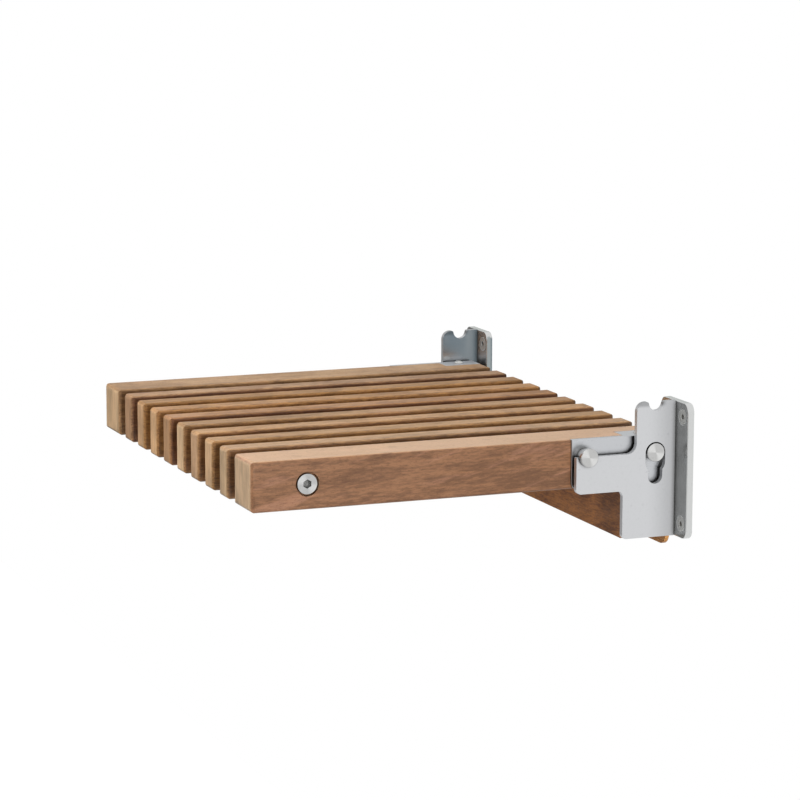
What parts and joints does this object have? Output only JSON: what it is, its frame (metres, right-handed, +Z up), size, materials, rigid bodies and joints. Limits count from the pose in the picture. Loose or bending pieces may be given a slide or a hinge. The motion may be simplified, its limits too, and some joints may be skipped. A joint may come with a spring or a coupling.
{
  "type": "fold down wall seat",
  "caption": "Wooden slatted wall seat that folds up between two steel wall brackets, with stop pins in notches, pivot pins in keyhole slots and a wooden cross rail.",
  "frame": {"origin": "middle of the pattern of wall screws, on the wall plane, level with the middle of the wall plates", "axes": "+X along the wall, +Y into the wall, so the seat stands out towards -Y, +Z up"},
  "size_m": [0.509, 0.4175, 0.134],
  "materials": {
    "bracket_steel": "satin stainless steel",
    "hinge_steel": "satin stainless steel",
    "pin_steel": "turned stainless steel, end faces with turning marks",
    "screw_steel": "stainless steel screws",
    "nut_steel": "satin stainless steel sleeve nuts",
    "spacer_steel": "stainless steel tube",
    "slat_wood": "oiled hardwood slats, grain along their length",
    "rail_wood": "oiled hardwood, grain along the wall"
  },
  "bodies": {
    "wall_frame": {"wall_plate_left": "bracket_steel", "wall_plate_right": "bracket_steel", "side_plate_left": "bracket_steel", "side_plate_right": "bracket_steel", "wall_screws_left": "screw_steel", "wall_screws_right": "screw_steel", "cross_rail": "rail_wood", "back_board": "rail_wood", "rail_dowels": "screw_steel", "board_screws": "screw_steel"},
    "seat": {"hinge_plate_left": "hinge_steel", "hinge_plate_right": "hinge_steel", "hinge_screws_left": "screw_steel", "hinge_screws_right": "screw_steel", "tab_screw_left": "screw_steel", "tab_screw_right": "screw_steel", "pivot_pin_left": "pin_steel", "pivot_pin_right": "pin_steel", "stop_pin_left": "pin_steel", "stop_pin_right": "pin_steel", "slat_01": "slat_wood", "slat_02": "slat_wood", "slat_03": "slat_wood", "slat_04": "slat_wood", "slat_05": "slat_wood", "slat_06": "slat_wood", "slat_07": "slat_wood", "slat_08": "slat_wood", "slat_09": "slat_wood", "slat_10": "slat_wood", "front_rod": "screw_steel", "rear_rod": "screw_steel", "front_spacers": "spacer_steel", "rear_spacers": "spacer_steel", "front_nut_left": "nut_steel", "front_nut_right": "nut_steel", "rear_nut_left": "nut_steel", "rear_nut_right": "nut_steel"}
  },
  "joints": [
    {"name": "seat_fold", "type": "hinge", "parent": "wall_frame", "child": "seat", "pos_m": [0, -0.026, 0.0157], "axis": [-1, 0, 0], "range_deg": [0, 90]}
  ]
}
